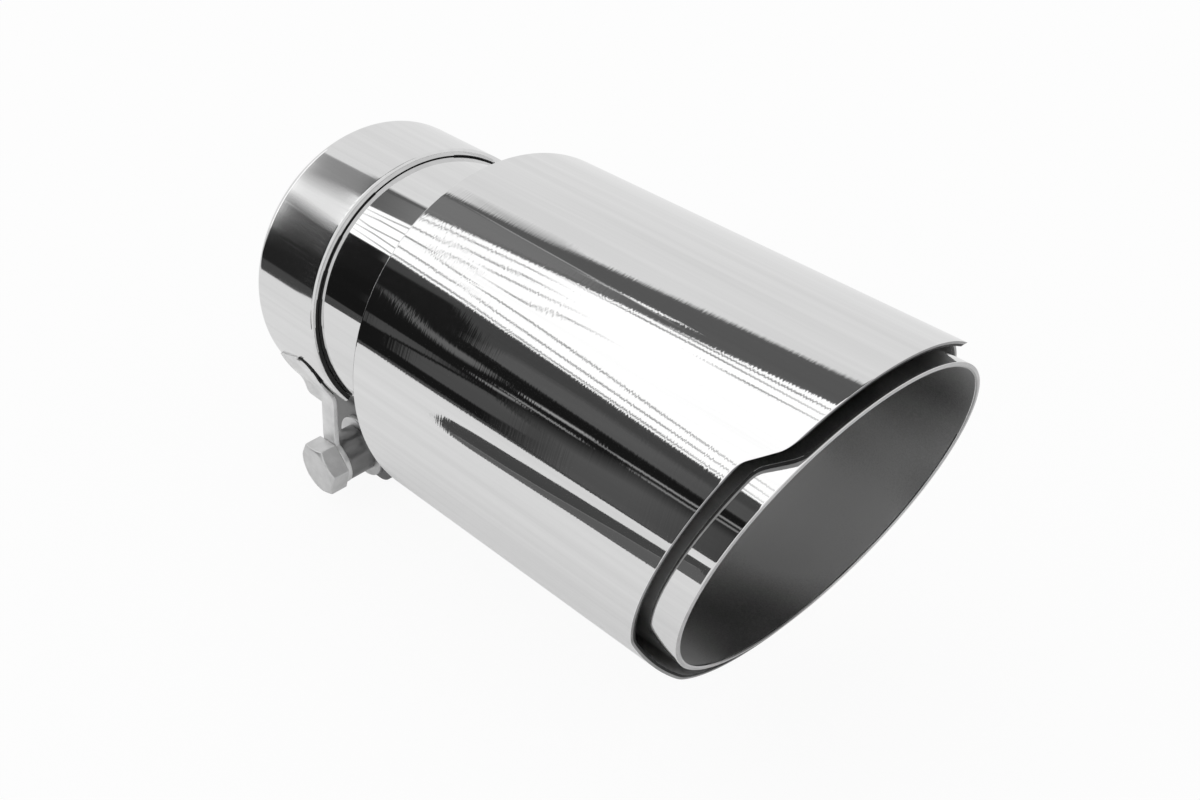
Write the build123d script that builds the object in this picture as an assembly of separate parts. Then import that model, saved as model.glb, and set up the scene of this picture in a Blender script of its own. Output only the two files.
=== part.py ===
from build123d import *
import os
from math import atan2, cos, degrees, radians, sin, sqrt, tan

# Exhaust tip with a double wall and a slanted outlet, held on a tailpipe by a band clamp.
# Millimetres. X runs along the pipe from the inlet to the outlet, Z is up, and the origin
# is the centre of the inlet bore at the tube's rear end, so the band's drawn-in rear edge
# lies just behind it. The long side of the slanted outlet is on top.
# Angles round the pipe are seen from the outlet's side: 0 is +Y and 90 is straight up.

# Inlet tube, which slips over the tailpipe
inlet_bore = 65.2
inlet_wall = 1.5
inlet_lead_in = 13.2
slit_width = 4.0
slit_length = 28.7
slit_angle = 216.0

# Outer sleeve
sleeve_diameter = 88.9
sleeve_wall = 1.2
sleeve_rear_x = 50.5
sleeve_bend_radius = 1.2
sleeve_fit = 0.1

# Outlet tube inside the sleeve
outlet_wall = 1.2
outlet_wall_gap = 2.25
outlet_lap_length = 9.0
outlet_cone_length = 19.0
outlet_fit = 0.1

# Slanted front end
mouth_x = 155.6
mouth_angle = 22.2
lip_setback = 3.5
side_setback = 9.4
step_height = 33.9
step_rise = 4.4
lower_lip_setback = 1.2
lower_step_start = 18.4
lower_step_end = 34.0
step_radius = 5.0
step_roll = 4.6

# Clamp band and its two ears
band_wall = 1.8
band_rear_gap = 2.6
band_width = 25.4
band_fit = 0.05
band_rear_bend = 0.4
band_rear_clearance = 0.3
band_front_round = 1.1
near_ear_wall = 1.5
near_end_angle = 188.0
near_leave_angle = 212.0
near_root_run = 3.4
near_bend_radius = 7.0
near_straight_z = -35.0
near_top_z = -8.8
near_end_slope = 20.0
near_peak_reach = 1.0
near_front_reach = 4.5
near_front_z = -15.0
near_rear_reach = 11.7
near_rear_z = -18.0
near_corner_radius = 4.0
shoulder_reach = 9.5
shoulder_z = -25.4
shoulder_radius = 2.0
tongue_width = 5.4
tongue_top_z = -22.0
near_eye_radius = 6.4
far_bend_radius = 2.4
far_ear_drop = 8.9
far_ear_corner = 6.0
ear_hole = 8.6

# Clamp bolt, spacer, washer and nut
bolt_x = 10.5
bolt_z = -42.3
bolt_diameter = 8.0
bolt_end_chamfer = 0.9
bolt_past_nut = 3.6
head_across_flats = 13.0
head_height = 5.3
head_turn = 25.0
near_ear_y = -32.0
spacer_length = 6.9
spacer_diameter = 12.6
spacer_bore = 8.4
washer_diameter = 17.0
washer_thickness = 1.6
washer_bore = 8.4
nut_across_flats = 13.0
nut_height = 6.5
thread_fit = 0.05
hex_chamfer_angle = 30.0
hex_face_share = 0.95
turned_edge = 0.4

# Weld seams
sleeve_weld_leg = 2.4
weld_bulge = 0.6
weld_fit = 0.05

# Sizes that follow from the driving dimensions
inlet_radius = inlet_bore / 2 + inlet_wall
inlet_length = sleeve_rear_x + inlet_lead_in
outlet_lap_x = inlet_length - outlet_lap_length
band_x = -band_rear_gap - band_wall
outlet_weld_leg = outlet_fit + outlet_wall - weld_fit
sleeve_radius = sleeve_diameter / 2
outlet_radius = sleeve_radius - sleeve_wall - outlet_wall_gap
slope = tan(radians(mouth_angle))
band_inner = inlet_radius + band_fit
band_middle = band_inner + band_wall / 2
near_middle = band_inner + band_wall + near_ear_wall / 2
head_y = near_ear_y - head_height
spacer_y = near_ear_y + near_ear_wall
washer_y = spacer_y + spacer_length
far_ear_y = washer_y + washer_thickness
nut_y = far_ear_y + band_wall
bolt_end_y = nut_y + nut_height + bolt_past_nut
cut_reach = 2 * sleeve_diameter
blank_front_x = mouth_x + sleeve_diameter


def save(solid, name):
    """Write one piece to its own file."""
    export_step(solid, f"parts/{name}.step")


def turned(section):
    """Revolve a section, drawn with x along the pipe and y as the radius, about the pipe."""
    return revolve(Plane.XZ * section, Axis.X)


def sheet(path, wall):
    """Give a line in a sketch the thickness of its sheet metal, half to each side."""
    return trace(path, line_width=wall)


def rounded(section, corners, radius):
    """Round the sketch corners that lie at the given points."""
    def wanted(vertex):
        return any(abs(vertex.X - x) + abs(vertex.Y - y) < 1e-4 for x, y in corners)

    return fillet(section.vertices().filter_by(wanted), radius)


def across_bolt(section, start_y, length):
    """Raise a section, drawn with x along the pipe and y upwards, along the bolt's direction."""
    plane = Plane(origin=(0, start_y + length, 0), x_dir=(1, 0, 0), z_dir=(0, -1, 0))
    return extrude(plane * section, amount=length)


def bolt_plane(y):
    """Plane square to the bolt, with its origin on the bolt's axis and its normal along +Y."""
    return Plane(origin=(bolt_x, y, bolt_z), x_dir=(1, 0, 0), z_dir=(0, 1, 0))


# Inlet tube

def slit_cutter():
    """Slot with a round end that runs in from the rear end, on one side of the tube only."""
    straight = slit_length - slit_width / 2
    outline = Rectangle(straight, slit_width, align=(Align.MIN, Align.CENTER))
    outline += Pos(straight, 0) * Circle(slit_width / 2)
    return Rot(slit_angle - 90, 0, 0) * extrude(outline, amount=sleeve_radius)


def make_inlet_tube():
    """Neck that slips over the tailpipe, slit so that the clamp can close it."""
    wall = Pos(inlet_length / 2, inlet_radius - inlet_wall / 2) * Rectangle(inlet_length, inlet_wall)
    return turned(wall) - slit_cutter()


# Outer sleeve and outlet tube

def front_outline():
    """Side view of what the front cut leaves: three slanted lines joined by rounded steps."""
    low = step_height - step_rise / 2
    high = step_height + step_rise / 2
    side_x = mouth_x - side_setback
    lip_x = mouth_x - lip_setback
    lower_lip_x = mouth_x - lower_lip_setback
    top = (lip_x + slope * cut_reach, cut_reach)
    step_head = (lip_x + slope * high, high)
    step_foot = (side_x + slope * low, low)
    lower_head = (side_x - slope * lower_step_start, -lower_step_start)
    lower_foot = (lower_lip_x - slope * lower_step_end, -lower_step_end)
    bottom = (lower_lip_x - slope * cut_reach, -cut_reach)
    corners = [bottom, lower_foot, lower_head, step_foot, step_head, top]
    edge = FilletPolyline(*corners, radius=step_radius)
    back = Polyline(top, (-2 * cut_reach, cut_reach), (-2 * cut_reach, -cut_reach), bottom)
    return make_face(edge + back)


def make_outer_sleeve():
    """Outer wall with a drawn-in rear end that closes on the inlet tube, and the stepped front."""
    hole = inlet_radius + sleeve_fit
    inner = sleeve_radius - sleeve_wall
    front_of_end = sleeve_rear_x + sleeve_wall
    section = make_face(
        Polyline(
            (sleeve_rear_x, hole),
            (sleeve_rear_x, sleeve_radius),
            (blank_front_x, sleeve_radius),
            (blank_front_x, inner),
            (front_of_end, inner),
            (front_of_end, hole),
            close=True,
        )
    )
    section = rounded(section, [(front_of_end, inner)], sleeve_bend_radius)
    section = rounded(section, [(sleeve_rear_x, sleeve_radius)], sleeve_bend_radius + sleeve_wall)
    fall = -tan(radians(step_roll))
    across = (slope * fall, 1, fall)
    keep = extrude(Plane.XZ * front_outline(), amount=cut_reach, dir=across, both=True)
    return turned(section) & keep


def make_outlet_tube():
    """Inner wall: lap over the inlet tube, cone out to full width, straight run, slanted mouth."""
    lap_inner = inlet_radius + outlet_fit
    lap_outer = lap_inner + outlet_wall
    inner = outlet_radius - outlet_wall
    cone_start = outlet_lap_x + outlet_lap_length
    cone_end = cone_start + outlet_cone_length
    section = make_face(
        Polyline(
            (outlet_lap_x, lap_inner),
            (outlet_lap_x, lap_outer),
            (cone_start, lap_outer),
            (cone_end, outlet_radius),
            (blank_front_x, outlet_radius),
            (blank_front_x, inner),
            (cone_end, inner),
            (cone_start, lap_inner),
            close=True,
        )
    )
    outwards = (cos(radians(mouth_angle)), 0, -sin(radians(mouth_angle)))
    mouth = Plane(origin=(mouth_x, 0, 0), x_dir=(0, 1, 0), z_dir=outwards)
    return split(turned(section), bisect_by=mouth, keep=Keep.BOTTOM)


def make_weld_ring(wall_x, tube_radius, leg, direction):
    """Fillet weld in the corner between a flat end and a tube, with a slightly full face."""
    foot = (wall_x + direction * leg, tube_radius)
    top = (wall_x, tube_radius + leg)
    face = (wall_x + direction * weld_bulge * leg, tube_radius + weld_bulge * leg)
    corner = (wall_x, tube_radius)
    outline = Line(corner, top) + ThreePointArc(top, face, foot) + Line(foot, corner)
    return turned(make_face(outline))


# Clamp band

def band_sheet(path, wall):
    """Sheet that follows a line round the pipe over the full width of the band."""
    plane = Plane(origin=(band_x, 0, 0), x_dir=(0, 1, 0), z_dir=(1, 0, 0))
    return extrude(plane * sheet(path, wall), amount=band_width)


def far_bend_centre():
    """Centre of the bend that turns the band's far end into its ear."""
    y = far_ear_y + band_wall / 2 + far_bend_radius
    return y, -sqrt((band_middle + far_bend_radius) ** 2 - y**2)


def hoop_section():
    """Section of the hoop: flat sheet, drawn in over the tube's end, with a rounded front edge."""
    outer = band_inner + band_wall
    front_x = band_x + band_width
    rear_inner = inlet_bore / 2 + band_rear_clearance
    section = make_face(
        Polyline(
            (band_x, rear_inner),
            (band_x, outer),
            (front_x, outer),
            (front_x, band_inner),
            (band_x + band_wall, band_inner),
            (band_x + band_wall, rear_inner),
            close=True,
        )
    )
    section = rounded(section, [(band_x + band_wall, band_inner)], band_rear_bend)
    section = rounded(section, [(band_x, outer)], band_rear_bend + band_wall)
    return rounded(section, [(front_x, outer)], band_front_round)


def make_band_hoop():
    """Part of the band that lies on the tube, from the far bend round to the near ear."""
    bend_y, bend_z = far_bend_centre()
    start = degrees(atan2(bend_z, bend_y))
    arc = near_leave_angle - start
    return Rot(start - 90, 0, 0) * revolve(Plane.XZ * hoop_section(), Axis.X, revolution_arc=arc)


def make_near_ear():
    """Ear strap that lies on the hoop, leaves it as a narrow tongue and ends in an eye."""
    angle = radians(near_leave_angle)
    leave = (near_middle * cos(angle), near_middle * sin(angle))
    knee = (leave[0] - near_root_run * sin(angle), leave[1] + near_root_run * cos(angle))
    hang_y = near_ear_y + near_ear_wall / 2
    straight = (hang_y, near_straight_z)
    foot = (hang_y, bolt_z - near_eye_radius)
    path = CenterArc((0, 0), near_middle, near_end_angle, near_leave_angle - near_end_angle)
    path += FilletPolyline(leave, knee, straight, foot, radius=near_bend_radius)
    blank = band_sheet(path, near_ear_wall)
    return blank & across_bolt(near_ear_outline(), -sleeve_radius, sleeve_radius)


def near_ear_outline():
    """Front view of the near ear: slanted top end, one rear shoulder, tongue and eye."""
    rear_x = bolt_x - near_rear_reach
    front_x = bolt_x + near_front_reach
    shoulder_x = bolt_x - shoulder_reach
    tongue_rear = bolt_x - tongue_width / 2
    tongue_front = bolt_x + tongue_width / 2
    end_drop = (near_rear_reach - near_peak_reach) * tan(radians(near_end_slope))
    outline = make_face(
        Polyline(
            (rear_x, near_top_z - end_drop),
            (bolt_x - near_peak_reach, near_top_z),
            (front_x, near_top_z),
            (front_x, near_front_z),
            (tongue_front, tongue_top_z),
            (tongue_front, bolt_z),
            (tongue_rear, bolt_z),
            (tongue_rear, shoulder_z),
            (shoulder_x, shoulder_z),
            (rear_x, near_rear_z),
            close=True,
        )
    )
    outline = rounded(outline, [(front_x, near_top_z)], near_corner_radius)
    outline = rounded(outline, [(shoulder_x, shoulder_z)], shoulder_radius)
    return outline + Pos(bolt_x, bolt_z) * Circle(near_eye_radius)


def make_far_ear():
    """Ear that bends straight down from the hoop's other end, with rounded lower corners."""
    bend_y, bend_z = far_bend_centre()
    hang_y = far_ear_y + band_wall / 2
    foot_z = bolt_z - far_ear_drop
    turn = 180 - degrees(atan2(-bend_z, -bend_y))
    path = CenterArc((bend_y, bend_z), far_bend_radius, 180, -turn)
    path += Line((hang_y, bend_z), (hang_y, foot_z))
    outline = Pos(band_x + band_width / 2, foot_z / 2) * Rectangle(band_width, -foot_z)
    outline = fillet(outline.vertices().group_by(Axis.Y)[0], far_ear_corner)
    return band_sheet(path, band_wall) & across_bolt(outline, -sleeve_radius, 2 * sleeve_radius)


def make_clamp_band():
    """One strip of sheet: the hoop with an ear at each end, both drilled for the bolt."""
    drill = extrude(bolt_plane(head_y) * Circle(ear_hole / 2), amount=sleeve_diameter)
    return make_band_hoop() + make_near_ear() + make_far_ear() - drill


# Fasteners, drawn along their axis and placed on the bolt

def hex_blank(across_flats, height, both_ends):
    """Hexagonal prism whose corners are turned down to a shallow cone at one end or both."""
    prism = extrude(RegularPolygon(across_flats / 2, 6, major_radius=False), amount=height)
    flat = hex_face_share * across_flats / 2
    reach = across_flats
    rise = (reach - flat) * tan(radians(hex_chamfer_angle))
    far_end = height + rise if both_ends else height
    points = [(0, 0), (flat, 0), (reach, rise)]
    if both_ends:
        points += [(reach, height - rise), (flat, height), (0, height)]
    else:
        points += [(reach, far_end), (0, far_end)]
    return prism & revolve(Plane.XZ * make_face(Polyline(*points, close=True)), Axis.Z)


def make_clamp_bolt():
    """Hexagon bolt: chamfered head outside the near ear, shank through to the nut."""
    head = Rot(0, 0, head_turn) * hex_blank(head_across_flats, head_height, both_ends=False)
    length = bolt_end_y - near_ear_y
    shank = Cylinder(bolt_diameter / 2, length, align=(Align.CENTER, Align.CENTER, Align.MIN))
    shank = chamfer(shank.faces().sort_by(Axis.Z)[-1].edges(), bolt_end_chamfer)
    return bolt_plane(head_y) * (head + Pos(0, 0, head_height) * shank)


def ring_on_bolt(y, outer, bore, length, edge):
    """Turned ring on the bolt with broken outer edges."""
    ring = Cylinder(outer / 2, length, align=(Align.CENTER, Align.CENTER, Align.MIN))
    ring = chamfer(ring.edges().filter_by(GeomType.CIRCLE), edge)
    ring -= Cylinder(bore / 2, length, align=(Align.CENTER, Align.CENTER, Align.MIN))
    return bolt_plane(y) * ring


def make_clamp_nut():
    """Hexagon nut, chamfered on both ends."""
    bore = bolt_diameter / 2 + thread_fit
    nut = hex_blank(nut_across_flats, nut_height, both_ends=True)
    nut -= Cylinder(bore, nut_height, align=(Align.CENTER, Align.CENTER, Align.MIN))
    return bolt_plane(nut_y) * (Rot(0, 0, head_turn) * nut)


os.makedirs("parts", exist_ok=True)
weld_radius = inlet_radius + weld_fit
save(make_inlet_tube(), "inlet_tube")
save(make_outer_sleeve(), "outer_sleeve")
save(make_outlet_tube(), "outlet_tube")
save(make_weld_ring(sleeve_rear_x, weld_radius, sleeve_weld_leg, -1), "sleeve_weld")
save(make_weld_ring(outlet_lap_x, weld_radius, outlet_weld_leg, -1), "outlet_weld")
save(make_clamp_band(), "clamp_band")
save(make_clamp_bolt(), "clamp_bolt")
save(ring_on_bolt(spacer_y, spacer_diameter, spacer_bore, spacer_length, turned_edge), "clamp_spacer")
save(ring_on_bolt(washer_y, washer_diameter, washer_bore, washer_thickness, turned_edge), "clamp_washer")
save(make_clamp_nut(), "clamp_nut")
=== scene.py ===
"""Looks of the exhaust tip: polished tubes, a formed band clamp, its fasteners and the studio round them."""

import logging
from collections.abc import Callable, Iterable
from dataclasses import dataclass
from enum import Enum
from math import acos, atan2, ceil, cos, degrees, hypot, radians, sin, sqrt, tan

import bpy
from mathutils import Matrix, Vector


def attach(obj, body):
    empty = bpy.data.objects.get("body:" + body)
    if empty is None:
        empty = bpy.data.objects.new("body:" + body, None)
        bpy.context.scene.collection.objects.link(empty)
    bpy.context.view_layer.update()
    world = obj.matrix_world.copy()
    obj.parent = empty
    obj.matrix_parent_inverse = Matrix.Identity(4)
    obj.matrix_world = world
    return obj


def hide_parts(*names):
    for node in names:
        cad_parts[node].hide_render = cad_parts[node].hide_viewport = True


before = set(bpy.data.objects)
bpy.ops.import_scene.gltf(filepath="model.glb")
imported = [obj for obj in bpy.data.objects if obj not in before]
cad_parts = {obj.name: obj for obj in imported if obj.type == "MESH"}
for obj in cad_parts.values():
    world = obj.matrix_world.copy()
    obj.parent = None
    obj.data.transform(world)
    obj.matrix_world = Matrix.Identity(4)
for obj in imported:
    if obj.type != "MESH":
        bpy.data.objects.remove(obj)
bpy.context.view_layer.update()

LOG = logging.getLogger("exhaust_tip")
MM = 0.001
ROOT = "root"
PHOTO_WIDTH = 1200
COVER = "cover"
CARD_STEPS = 12
SHARP_ANGLE = 32.0
HAIR = 0.01
NOISE_ROUGHNESS = 0.6
MOST_ROUNDING = 0.45
LINE_SOFTNESS = 0.9
WHITE = (1.0, 1.0, 1.0, 1.0)
Station = tuple[float, float]
Outline = list[Station]
Section = Callable[[float], Outline]
Piece = bpy.types.Object


class Socket:
    """One output of a shader node, with the operators that shader maths needs."""

    def __init__(self, shader: "Shader", link: bpy.types.NodeSocket) -> None:
        """Wrap a node's output."""
        self.shader = shader
        self.link = link

    def __add__(self, other: "Socket | float") -> "Socket":
        """Sum."""
        return self.shader.maths("ADD", self, other)

    def __mul__(self, other: "Socket | float") -> "Socket":
        """Product."""
        return self.shader.maths("MULTIPLY", self, other)

    __radd__ = __add__
    __rmul__ = __mul__


class Shader:
    """Node tree of one material or of the world, built node by node."""

    def __init__(self, owner: bpy.types.Material | bpy.types.World) -> None:
        """Empty the node tree of a material or of the world.

        Args:
            owner: The material or world to build.
        """
        owner.use_nodes = True
        self.tree = owner.node_tree
        self.tree.nodes.clear()

    def node(self, kind: str, settings: dict | None = None, inputs: dict | None = None,
             output: int | str = 0) -> Socket:
        """Add one node, with its settings first and then its sockets.

        Args:
            kind: The node's type name.
            settings: Properties of the node.
            inputs: Values or sockets, by the input's name or number.
            output: The output to return.

        Returns:
            The chosen output.
        """
        made = self.tree.nodes.new(kind)
        for name, value in (settings or {}).items():
            setattr(made, name, value)
        for name, value in (inputs or {}).items():
            if isinstance(value, Socket):
                self.tree.links.new(value.link, made.inputs[name])
            else:
                made.inputs[name].default_value = value
        return Socket(self, made.outputs[output])

    def maths(self, operation: str, first: Socket, second: Socket | float) -> Socket:
        """Result of a Math node."""
        return self.node("ShaderNodeMath", {"operation": operation}, {0: first, 1: second})

    def noise(self, scale: tuple[float, float, float], detail: float) -> Socket:
        """Noise in the object's own coordinates, stretched by a different scale on each axis.

        Args:
            scale: Features per metre along X, Y and Z.
            detail: Number of finer layers.

        Returns:
            The noise from 0 to 1.
        """
        place = self.node("ShaderNodeTexCoord", output="Object")
        place = self.node("ShaderNodeMapping", {"vector_type": "POINT"}, {"Vector": place, "Scale": scale})
        return self.node("ShaderNodeTexNoise", {}, {"Vector": place, "Scale": 1.0, "Detail": detail,
                                                    "Roughness": NOISE_ROUGHNESS}, "Fac")

    def mottled(self, factor: Socket, grey: float, spread: Station, start: float = 0.3) -> Socket:
        """Grey that varies with a factor.

        Args:
            factor: What it varies with, from 0 to 1.
            grey: The grey itself.
            spread: The darkest and the palest as shares of it.
            start: Where the darkest ends. The palest begins as far from 1.

        Returns:
            The grey.
        """
        made = self.node("ShaderNodeValToRGB", {}, {"Fac": factor}, "Color")
        for element, position, share in zip(made.link.node.color_ramp.elements, (start, 1 - start), spread):
            tone = min(1.0, grey * share)
            element.position, element.color = position, (tone, tone, tone, 1.0)
        return made

    def bump(self, height: Socket, depth: float, strength: float = 1.0,
             under: Socket | None = None) -> Socket:
        """Normal of a fine relief.

        Args:
            height: The relief from 0 to 1.
            depth: Its depth in millimetres.
            strength: How much of it shows.
            under: Normal of the relief that it lies on.

        Returns:
            The normal.
        """
        inputs = {"Strength": strength, "Distance": depth * MM, "Height": height}
        return self.node("ShaderNodeBump", {}, inputs | ({"Normal": under} if under else {}), "Normal")

    def metal(self, grey: Socket, rough: Socket, normal: Socket) -> None:
        """Finish the tree with the surface of a bare metal."""
        self.finish(self.node("ShaderNodeBsdfPrincipled", {}, {
            "Base Color": grey, "Metallic": 1.0, "Roughness": rough, "Normal": normal}))

    def finish(self, surface: Socket, output: str = "ShaderNodeOutputMaterial") -> None:
        """Connect a shader to the surface of the material or world."""
        made = self.tree.nodes.new(output)
        self.tree.links.new(surface.link, made.inputs["Surface"])


class Lay(Enum):
    """Which way the lines of a polished surface run."""

    ALONG_PIPE = "along"
    ROUND_PIPE = "round"

    def scale(self, across: float, along: float) -> tuple[float, float, float]:
        """Noise scale on X, Y and Z, from the features per metre across and along the lines."""
        return (along, across, across) if self is Lay.ALONG_PIPE else (across, along, along)


@dataclass(frozen=True)
class Finish:
    """Named finish. Each kind of finish says how its shader is filled."""

    name: str

    def material(self) -> bpy.types.Material:
        """Build the material.

        Returns:
            The material, ready to assign.
        """
        made = bpy.data.materials.new(self.name)
        self.fill(Shader(made))
        return made

    def fill(self, shader: Shader) -> None:
        """Fill the material's shader, which each kind does in its own way."""
        raise NotImplementedError


@dataclass(frozen=True)
class PolishedSteel(Finish):
    """Stainless sheet polished to a mirror, with faint lines along it and finer ones from the buff."""

    grey: float = 0.78
    roughness: float = 0.02
    roughness_spread: float = 0.03
    long_lines: Station = (420.0, 7.0)
    long_line_depth: float = 0.003
    buff_lines: Station = (1700.0, 90.0)
    buff_line_depth: float = 0.0052
    buff_lay: Lay = Lay.ROUND_PIPE
    haze: tuple[float, float, float] = (14.0, 22.0, 22.0)
    spread: Station = (0.95, 1.04)

    def fill(self, shader: Shader) -> None:
        """Fill the material's shader.

        Args:
            shader: The empty shader.
        """
        long_lines = shader.noise(Lay.ALONG_PIPE.scale(*self.long_lines), detail=3.0)
        buff_lines = shader.noise(self.buff_lay.scale(*self.buff_lines), detail=1.0)
        rough = self.roughness + self.roughness_spread * shader.noise(self.haze, detail=2.0)
        relief = shader.bump(long_lines, self.long_line_depth)
        shader.metal(shader.mottled(long_lines, self.grey, self.spread), rough,
                     shader.bump(buff_lines, self.buff_line_depth, under=relief))


@dataclass(frozen=True)
class DullSteel(Finish):
    """Unpolished inside of a drawn tube: grey, matt and slightly blotched."""

    grey: float = 0.41
    roughness: float = 0.42
    roughness_spread: float = 0.18
    blotches: tuple[float, float, float] = (17.0, 26.0, 26.0)
    grain: float = 2600.0
    grain_depth: float = 0.02
    grain_share: float = 0.1
    spread: Station = (0.5, 1.7)

    def fill(self, shader: Shader) -> None:
        """Fill the material's shader.

        Args:
            shader: The empty shader.
        """
        blotch = shader.noise(self.blotches, detail=1.0)
        grain = shader.noise((self.grain,) * 3, detail=2.0)
        mixed = blotch * (1 - self.grain_share) + grain * self.grain_share
        shader.metal(shader.mottled(mixed, self.grey, self.spread, start=0.4),
                     self.roughness + self.roughness_spread * blotch,
                     shader.bump(grain, self.grain_depth, strength=0.5))


@dataclass(frozen=True)
class SatinSteel(Finish):
    """Pressed, cut or turned steel with an even satin surface and a fine grain."""

    grey: float = 0.62
    roughness: float = 0.32
    roughness_spread: float = 0.16
    clouds: float = 190.0
    grain: float = 1800.0
    grain_depth: float = 0.006
    spread: Station = (0.86, 1.1)

    def fill(self, shader: Shader) -> None:
        """Fill the material's shader.

        Args:
            shader: The empty shader.
        """
        grain = shader.noise((self.grain,) * 3, detail=3.0)
        cloud = shader.noise((self.clouds,) * 3, detail=3.0)
        shader.metal(shader.mottled(cloud, self.grey, self.spread),
                     self.roughness + self.roughness_spread * cloud, shader.bump(grain, self.grain_depth))


@dataclass(frozen=True)
class StudioGlow(Finish):
    """Even glow of a light panel or of a flag, which fades out where its cover falls to nothing."""

    level: float = 1.0

    def fill(self, shader: Shader) -> None:
        """Fill the material's shader.

        Args:
            shader: The empty shader.
        """
        glow = shader.node("ShaderNodeEmission", {}, {"Color": WHITE, "Strength": self.level})
        clear = shader.node("ShaderNodeBsdfTransparent")
        cover = shader.node("ShaderNodeAttribute", {"attribute_name": COVER}, output="Fac")
        shader.finish(shader.node("ShaderNodeMixShader", {}, {0: cover, 1: clear, 2: glow}))


def curve(start: Vector, control: Vector, end: Vector, steps: int) -> Outline:
    """Points on a quadratic curve from start to end, which the control point pulls."""
    shares = [step / steps for step in range(steps + 1)]
    return [tuple((1 - t) ** 2 * start + 2 * t * (1 - t) * control + t**2 * end) for t in shares]


def rounded(corners: Iterable[Station], reach: float, steps: int = 4) -> Outline:
    """Points that round the inner corners of a line.

    Args:
        corners: The line. Its first and last points only give directions.
        reach: How far from a corner its rounding starts.
        steps: Straight pieces of each rounding.

    Returns:
        The points of the roundings, in order.
    """
    tips = [Vector(corner) for corner in corners]
    points: Outline = []
    for before, tip, after in zip(tips, tips[1:], tips[2:]):
        points += curve(tip + (before - tip).normalized() * reach, tip,
                        tip + (after - tip).normalized() * reach, steps)
    return points


def bent(corners: Outline, radius: float, steps: int) -> Outline:
    """Points that bend a line at its inner corners.

    Args:
        corners: The line. Its first and last points only give directions.
        radius: Radius of the bends.
        steps: Straight pieces of each bend.

    Returns:
        The points of the bends, in order.
    """
    points: Outline = []
    for trio in zip(corners, corners[1:], corners[2:]):
        before, corner, after = (Vector(station) for station in trio)
        turn = acos(max(-1.0, min(1.0, (corner - before).normalized().dot((after - corner).normalized()))))
        points += rounded(trio, radius * tan(turn / 2), steps)
    return points


def softened(outline: Outline, reach: float) -> Outline:
    """Round every corner of a closed outline a little."""
    return rounded([outline[-1], *outline, outline[0]], reach, steps=3)


def arc(centre: Station, radius: float, start: float, end: float, steps: int) -> Outline:
    """Points on an arc from one angle in degrees to another."""
    angles = [radians(start + (end - start) * step / steps) for step in range(steps + 1)]
    return [(centre[0] + radius * cos(angle), centre[1] + radius * sin(angle)) for angle in angles]


def round_x(x: float, radius: float, angle: float) -> Vector:
    """Point at a radius and an angle in degrees round the X axis."""
    return Vector((x, radius * cos(radians(angle)), radius * sin(radians(angle))))


def even_angles(count: int) -> list[float]:
    """Evenly spaced angles in degrees, all the way round."""
    return [360.0 * index / count for index in range(count)]


def add_mesh(name: str, vertices: Iterable[Iterable[float]], faces: list[tuple[int, ...]]) -> Piece:
    """Add a mesh object to the scene.

    Args:
        name: Name of the object and its mesh.
        vertices: Points in metres.
        faces: Faces as point numbers.

    Returns:
        The object.
    """
    mesh = bpy.data.meshes.new(name)
    mesh.from_pydata(vertices, [], faces)
    made = bpy.data.objects.new(name, mesh)
    bpy.context.scene.collection.objects.link(made)
    return made


def lofted(name: str, rings: list[list[Vector]], place: Matrix | None = None, sharp: float = SHARP_ANGLE,
           closed: bool = False) -> Piece:
    """Join closed rings of points into a smooth mesh object.

    Args:
        name: Name of the piece.
        rings: Rings of equal size, in millimetres.
        place: Where their own frame lies, in millimetres.
        sharp: Edges that turn by more than this many degrees stay sharp.
        closed: Whether the last ring meets the first. Otherwise both ends are closed.

    Returns:
        The object, in metres.
    """
    size, count = len(rings[0]), len(rings)
    faces: list[tuple[int, ...]] = []
    for i in range(count if closed else count - 1):
        near, far = i * size, (i + 1) % count * size
        for k in range(size):
            m = (k + 1) % size
            ends = (far + k, near + m) if closed else (near + m, far + k)
            faces.append((near + k, ends[0], far + m, ends[1]))
    if not closed:
        faces += [tuple(reversed(range(size))), tuple(range((count - 1) * size, count * size))]
    place = place or Matrix.Identity(4)
    made = add_mesh(name, [tuple((place @ point) * MM) for ring in rings for point in ring], faces)
    made.data.validate()
    made.data.shade_smooth()
    made.data.set_sharp_from_angle(angle=radians(sharp))
    return made


def revolved(name: str, section: Section, angles: list[float], place: Matrix | None = None,
             sharp: float = SHARP_ANGLE) -> Piece:
    """Turn a section, which may change with the angle, about the X axis at angles all the way round."""
    rings = [[round_x(x, radius, angle) for x, radius in section(angle)] for angle in angles]
    return lofted(name, rings, place, sharp, closed=True)


def cut(piece: Piece, tool: Piece) -> None:
    """Cut one closed mesh out of another and remove the cutter.

    Args:
        piece: The object that is cut.
        tool: The object that is taken away.
    """
    modifier = piece.modifiers.new("cut", "BOOLEAN")
    modifier.operation = "DIFFERENCE"
    modifier.solver = "EXACT"
    modifier.object = tool
    with bpy.context.temp_override(object=piece, active_object=piece, selected_objects=[piece]):
        bpy.ops.object.modifier_apply(modifier=modifier.name)
    bpy.data.objects.remove(tool)
    piece.data.set_sharp_from_angle(angle=radians(SHARP_ANGLE))


def join(piece: Piece, *others: Piece) -> None:
    """Merge other mesh objects into one."""
    with bpy.context.temp_override(object=piece, active_object=piece,
                                   selected_editable_objects=[piece, *others]):
        bpy.ops.object.join()


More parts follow.
